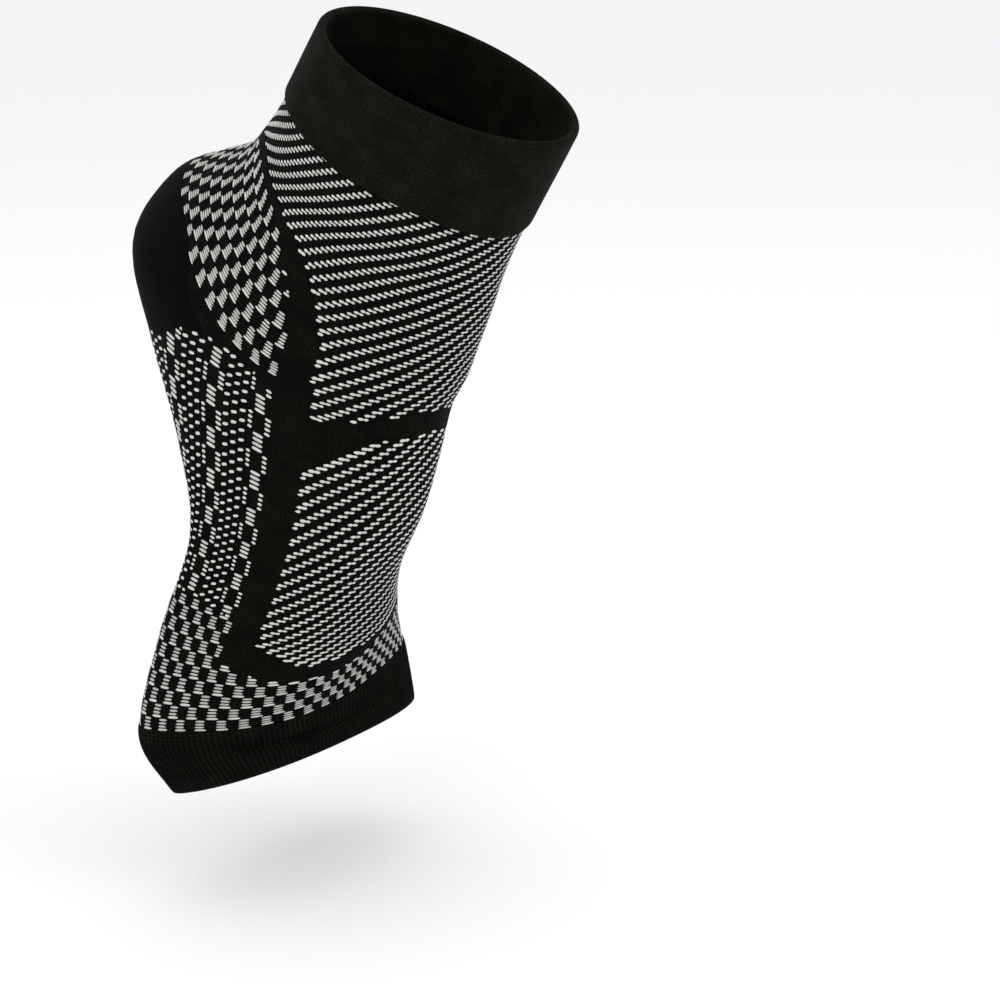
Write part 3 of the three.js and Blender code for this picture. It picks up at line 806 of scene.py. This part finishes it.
# The instep panel is striped stretch knit over the instep, the same stepped stripes as on the shin.
# It is knitted in the frame and pulled out of square too, most of all at its toe end. Its table has the same
# columns as the shin panel's, and its ends have bold stitches as well as its sides.
INSTEP_WALL = 1.5
INSTEP_COURSES = (0, 4, 24, 44, 64, 84)
INSTEP_STRETCH = (
    (95.5, 4.9, 0.40, 0.034, 0.0520, 0.0110),
    (102.8, 4.7, 0.37, 0.040, 0.0545, 0.0100),
    (138.6, 4.0, 0.07, 0.056, 0.0642, 0.0058),
    (171.3, 2.4, -0.30, 0.055, 0.0719, 0.0029),
    (197.1, -0.3, -0.43, 0.067, 0.0764, -0.0006),
    (214.5, -3.9, -0.34, 0.115, 0.0784, -0.0041),
)
INSTEP_FRONT_WALE = -10
instep_panel = knit_wall("instep_panel_knit", "instep", INSTEP_WALL, 0.0, "instep_panel")
instep_panel.data.materials.append(panel_black)


def instep_place(wale, course):
    """A count on the instep panel."""
    return stretched_place(INSTEP_COURSES, INSTEP_STRETCH, INSTEP_FRONT_WALE, wale, course)


all_steps = (*side_steps, (0, -END_REACH), (0, END_REACH))
stripe_stitches("instep_stripes", "instep", instep_place, INSTEP_FRONT_WALE, INSTEP_COURSES[-1], all_steps)

# The arch panel is ribbed stretch knit from band to band under the sole, knitted on from the heel pocket.
# Chain columns, four wales wide, take turns with columns of three dashes. A chain is four strokes over its
# two middle wales and then four dots on each of its outer wales.
ARCH_WALL = 1.5
CHAIN_APART = 10
CHAIN_FIRST = 45
CHAIN_BEHIND_BAND = 0.0155
CHAIN_DOTS_OUT = 1.75
CHAIN_COURSES = 8
CHAIN_STROKES_AT = 145.8
DASH_APART = 1.72
ARCH_COURSES_AT = (100, 125, 140, 152, 165, 176, 190, 246)
ARCH_COURSES = (1.9, 1.82, 1.75, 1.64, 1.49, 1.31, 1.15, 1.1)
ARCH_EASE_AT = (107, 124, 145)
ARCH_EASE = (-0.16, -0.016, 0.035)
DASH_RISE_AT = (0, 10, 30, 40)
DASH_RISE = (0.0, 0.4, 0.65, 0.28)
ARCH_REACH = (100, 215)
CHAIN_STROKE = {"length": 2.1, "height": 0.72, "tilt": 0.12, "blunt": STROKE_BLUNT}
CHAIN_LOWEST_TONE = 1.0
CHAIN_TONE = 0.8
CHAIN_DOT = {"height": 0.64, "tilt": 0.1, "blunt": 3.0, "tone": 0.92}
FRONT_DOT_LENGTH = 1.3
BACK_DOT_LENGTH = 0.85
DASH = {"length": 1.2, "height": 0.70, "tilt": -0.45, "blunt": STROKE_BLUNT, "tone": 1.05}
arch_panel = knit_wall("arch_panel_knit", "arch", ARCH_WALL, 0.0, "arch_panel")
arch_panel.data.materials.append(panel_black)

arch_steps = ALONG_STEP / np.interp(net_along, ARCH_COURSES_AT, ARCH_COURSES)
arch_count = np.cumsum(arch_steps)
arch_count += CHAIN_COURSES / 4 - np.interp(CHAIN_STROKES_AT, net_along, arch_count)


def arch_place(wale, course):
    """A count on the arch panel: wales from the middle of the sole, courses from the leg rim."""
    along = np.interp(course, arch_count, net_along)
    first_chain = strip_edges(along)[:, 2] + CHAIN_BEHIND_BAND
    share = wale / CHAIN_FIRST
    ease = np.interp(along, ARCH_EASE_AT, ARCH_EASE) * (share**2 - 1)
    return along, 0.5 - share * (1 + ease) * (0.5 - first_chain)


def arch_stitches(name, wale, course, length, height, tilt, blunt, tone):
    """White stitches of the arch panel. Their tilt is towards the bands, alike on both sides."""
    turned = tilt * np.sign(wale)
    strokes_in_zone(name, "arch", arch_place, wale, course, length, height, turned, blunt, tone)


# Every second chain is staggered by half a chain.
arch_first, arch_last = np.floor(np.interp(ARCH_REACH, net_along, arch_count)).astype(int)
courses = np.arange(arch_first, arch_last)
chains = np.arange(-CHAIN_FIRST, CHAIN_FIRST + 1, CHAIN_APART, dtype=float)
chain_wale, chain_course = (grid.ravel() for grid in np.meshgrid(chains, courses))
staggered = (CHAIN_FIRST - np.abs(chain_wale)) / CHAIN_APART % 2 * CHAIN_COURSES / 2
in_chain = (chain_course + staggered) % CHAIN_COURSES
has_stroke = in_chain < CHAIN_COURSES // 2
lowest = in_chain[has_stroke] == CHAIN_COURSES // 2 - 1
stroke_tone = np.where(lowest, CHAIN_LOWEST_TONE, CHAIN_TONE)
stroke_wale, stroke_course = chain_wale[has_stroke], chain_course[has_stroke] + 0.5
arch_stitches("arch_chain_strokes", stroke_wale, stroke_course, tone=stroke_tone, **CHAIN_STROKE)

# Dots stand on both sides of a chain, and the one nearer to the front is the longer.
dot_wale, dot_course = (np.tile(count[~has_stroke], 2) for count in (chain_wale, chain_course))
dot_side = np.repeat([-1.0, 1.0], len(dot_wale) // 2)
dot_wale = dot_wale + CHAIN_DOTS_OUT * dot_side
dot_length = np.where(dot_side == np.sign(dot_wale), FRONT_DOT_LENGTH, BACK_DOT_LENGTH)
arch_stitches("arch_chain_dots", dot_wale, dot_course + 0.5, length=dot_length, **CHAIN_DOT)

# Dashes lie between the chains, three to a row, and their rows rise towards the front.
dash_first = CHAIN_FIRST - CHAIN_APART // 2
dashes = np.arange(-dash_first, dash_first + 1, CHAIN_APART, dtype=float)
dash_wale, dash_number, dash_course = (
    grid.ravel() for grid in np.meshgrid(dashes, np.arange(-1, 2), courses)
)
dashed = (dash_course + dash_number) % 2 == 0
dash_wale, dash_number, dash_course = dash_wale[dashed], dash_number[dashed], dash_course[dashed]
dash_rise = np.interp(np.abs(dash_wale), DASH_RISE_AT, DASH_RISE) * np.sign(dash_wale)
dash_course = dash_course + 0.5 - dash_rise * dash_number
dash_wale = dash_wale + DASH_APART * dash_number
arch_stitches("arch_dashes", dash_wale, dash_course, **DASH)

# The forefoot band is checked stretch knit round the toe end of the sleeve, between the frame's border, the
# arch panel and the toe band, all knitted in one. Its checks are two wales wide and four courses tall, in
# rows that follow the toe band.
FOREFOOT_WALL = 1.5
FOREFOOT_CHECK_COURSES = 4
FOREFOOT_COURSE = 0.87
FOREFOOT_WALES = 164
FOREFOOT_FIRST_CHECK = 0.198
FOREFOOT_GATHER = 0.0137
FOREFOOT_GATHER_WALE = 25
FOREFOOT_GATHER_WIDTH = 14
FOREFOOT_ROWS = 10
FOREFOOT_LOWEST_STROKE = (2.3, 0.84, 0.78)
FOREFOOT_STROKE = (1.85, 0.74, 0.55)
FOREFOOT_BOLD_STROKE = (0, 0.1, 0.35)
FOREFOOT_BOLD_REACH = 1.2
FOREFOOT_LOWEST_OVER = 0.2
forefoot_band = knit_wall("forefoot_band_knit", "forefoot", FOREFOOT_WALL, 0.0, "forefoot_band")
forefoot_band.data.materials.append(panel_black)


def forefoot_place(wale, course):
    """A count on the forefoot band: wales round it, courses up from the toe welt, which they follow."""
    gather = FOREFOOT_GATHER * np.exp(-(((wale - FOREFOOT_GATHER_WALE) / FOREFOOT_GATHER_WIDTH) ** 2))
    around = FOREFOOT_FIRST_CHECK - wale / FOREFOOT_WALES - gather
    return line_at("toeWelt", around) - FOREFOOT_COURSE * (course + FOREFOOT_CHECK_COURSES / 2), around


# The last column of checks is the first again. Strokes next to the frame are bolder.
forefoot_columns = FOREFOOT_WALES // CHECK_WALES // 2
wale, course, stroke = check_counts(forefoot_columns, 0, FOREFOOT_ROWS, FOREFOOT_CHECK_COURSES)
here = wale < FOREFOOT_WALES / 2
wale, course, stroke = wale[here], course[here], stroke[here]
lowest = stroke == 0
at_frame = zone_at(*forefoot_place(wale, course + FOREFOOT_BOLD_REACH)) == "frame"
length, height, tone = (
    np.where(lowest, in_lowest, in_others) + more * at_frame
    for in_lowest, in_others, more in zip(FOREFOOT_LOWEST_STROKE, FOREFOOT_STROKE, FOREFOOT_BOLD_STROKE)
)
strokes_in_zone(
    "forefoot_checks",
    "forefoot",
    forefoot_place,
    wale + FOREFOOT_LOWEST_OVER * lowest,
    course,
    length,
    height,
    0.0,
    STROKE_BLUNT,
    tone,
)

# The toe band is a black ribbed welt round the toe opening, a rib to each wale, knitted double and folded at
# the rim. It grips by its stretch, which has pulled it into one soft slanting crease across the front.
TOE_BAND_END = 246.0
TOE_RISE = 0.6
TOE_WALL = 2.2
TOE_RIBS = 148
TOE_RIB_RISE = 0.32
RIB_COLUMNS = 8
TOE_FACE_ROWS = 34
TOE_LINING_EVERY = 3
CREASE_ROUND = (-0.09, -0.02, 0.05, 0.092, 0.127, 0.174, 0.22)
CREASE_ALONG = (235.5, 237.3, 237.0, 235.7, 234.3, 231.0, 228.5)
CREASE_SHOWS = (0, 1, 1, 1, 1, 0.5, 0)
CREASE_DEPTH = 1.7
CREASE_WIDTH = 1.5
CREASE_ROLL = 1.0
CREASE_ROLL_BELOW = 2.2
CREASE_ROLL_SPREAD = 3
CREASE_ENDS = 8
RIB_ENDS = 0.4
toe_columns = TOE_RIBS * RIB_COLUMNS
toe_round = np.arange(toe_columns) / toe_columns
toe_fold = TOE_WALL / 2
toe_start = line_at("toeWelt", toe_round)
toe_end = TOE_BAND_END - toe_fold
face_share = np.linspace(0, 1, TOE_FACE_ROWS)[:, None]
face_along = toe_start + face_share * (toe_end - toe_start)
turn = np.linspace(0, np.pi, 2 * ROUND_ROWS)[1:-1, None]
rim_along = toe_end + toe_fold * np.sin(turn) + 0 * toe_round
rim_rise = TOE_RISE - toe_fold * (1 - np.cos(turn)) + 0 * toe_round
rib_fades = np.sin(np.pi * face_share) ** RIB_ENDS
ribs = -TOE_RIB_RISE * np.cos(2 * np.pi * TOE_RIBS * toe_round) * rib_fades
signed_round = np.where(toe_round > 0.5, toe_round - 1, toe_round)
off_crease = (face_along - np.interp(signed_round, CREASE_ROUND, CREASE_ALONG)) / CREASE_WIDTH
crease_shows = np.interp(signed_round, CREASE_ROUND, CREASE_SHOWS)
roll = CREASE_ROLL * np.exp(-((off_crease - CREASE_ROLL_BELOW) ** 2) / CREASE_ROLL_SPREAD)
crease = roll - CREASE_DEPTH * np.exp(-(off_crease**2))
face_rise = TOE_RISE + ribs + crease_shows * crease * (1 - face_share**CREASE_ENDS)
lining_along = face_along[::-TOE_LINING_EVERY]
lining_rise = np.full(lining_along.shape, TOE_RISE - TOE_WALL)
toe_band = welt(
    "toe_band_welt",
    np.concatenate([face_along, rim_along, lining_along]),
    np.concatenate([face_rise, rim_rise, lining_rise]),
    "toe_band",
)
RIB_DEEP = (0.0009, 0.0009, 0.0006)
RIB_PALE = (0.0088, 0.0092, 0.0066)
rib_black = black_knit("rib_black_knit", RIB_DEEP, RIB_PALE, relief=0.4, gap_shade=0.9)
toe_band.data.materials.append(rib_black)

# The floor is a plain pale board under the sleeve, which is held up clear of it. Soft lamps light the sleeve
# from the front, the side and above, and the camera stands at its inner side, in front and a little above.
# Places and sizes here are in metres.
FLOOR_DROP = 0.03
FLOOR_HALF = 14.0
floor_level = cad_box[0][2] - FLOOR_DROP
floor_mesh = bpy.data.meshes.new("floor")
floor_mesh.from_pydata(
    [(x * FLOOR_HALF, y * FLOOR_HALF, floor_level) for x, y in ((-1, -1), (1, -1), (1, 1), (-1, 1))],
    [],
    [(0, 1, 2, 3)],
)
floor = bpy.data.objects.new("floor", floor_mesh)
bpy.context.scene.collection.objects.link(floor)
floor_paint = bpy.data.materials.new("floor_paint")
floor_paint.use_nodes = True
paint = floor_paint.node_tree.nodes["Principled BSDF"]
paint.inputs["Base Color"].default_value = (0.9, 0.9, 0.9, 1)
paint.inputs["Roughness"].default_value = 0.9
floor_mesh.materials.append(floor_paint)

world = bpy.data.worlds.new("studio")
world.use_nodes = True
backdrop = world.node_tree.nodes["Background"]
backdrop.inputs["Color"].default_value = (1.0, 1.0, 1.0, 1)
backdrop.inputs["Strength"].default_value = 1.0
bpy.context.scene.world = world


def soft_lamp(name, place, size, watts):
    """A square soft lamp that faces the middle of the sleeve."""
    lamp = bpy.data.lights.new(name, "AREA")
    lamp.size = size
    lamp.energy = watts
    holder = bpy.data.objects.new(name, lamp)
    holder.location = place
    holder.rotation_euler = (-Vector(place)).to_track_quat("-Z", "Y").to_euler()
    bpy.context.scene.collection.objects.link(holder)


soft_lamp("front_lamp", place=(0.35, -1.5, 0.8), size=1.0, watts=5)
soft_lamp("side_lamp", place=(-1.5, -0.4, 0.7), size=1.2, watts=7)
soft_lamp("top_lamp", place=(0.1, 0.2, 1.8), size=1.4, watts=4)

CAMERA_PLACE = (-0.5065, -0.4741, 0.1155)
CAMERA_LOOK = (0.753, 0.615, -0.2341)
CAMERA_LENS = 84.0
CAMERA_SENSOR = 36.0
camera_data = bpy.data.cameras.new("camera")
camera_data.lens = CAMERA_LENS
camera_data.sensor_width = CAMERA_SENSOR
camera = bpy.data.objects.new("camera", camera_data)
camera.location = CAMERA_PLACE
camera.rotation_euler = Vector(CAMERA_LOOK).to_track_quat("-Z", "Y").to_euler()
bpy.context.scene.collection.objects.link(camera)
bpy.context.scene.camera = camera
bpy.context.scene.view_settings.view_transform = "Standard"
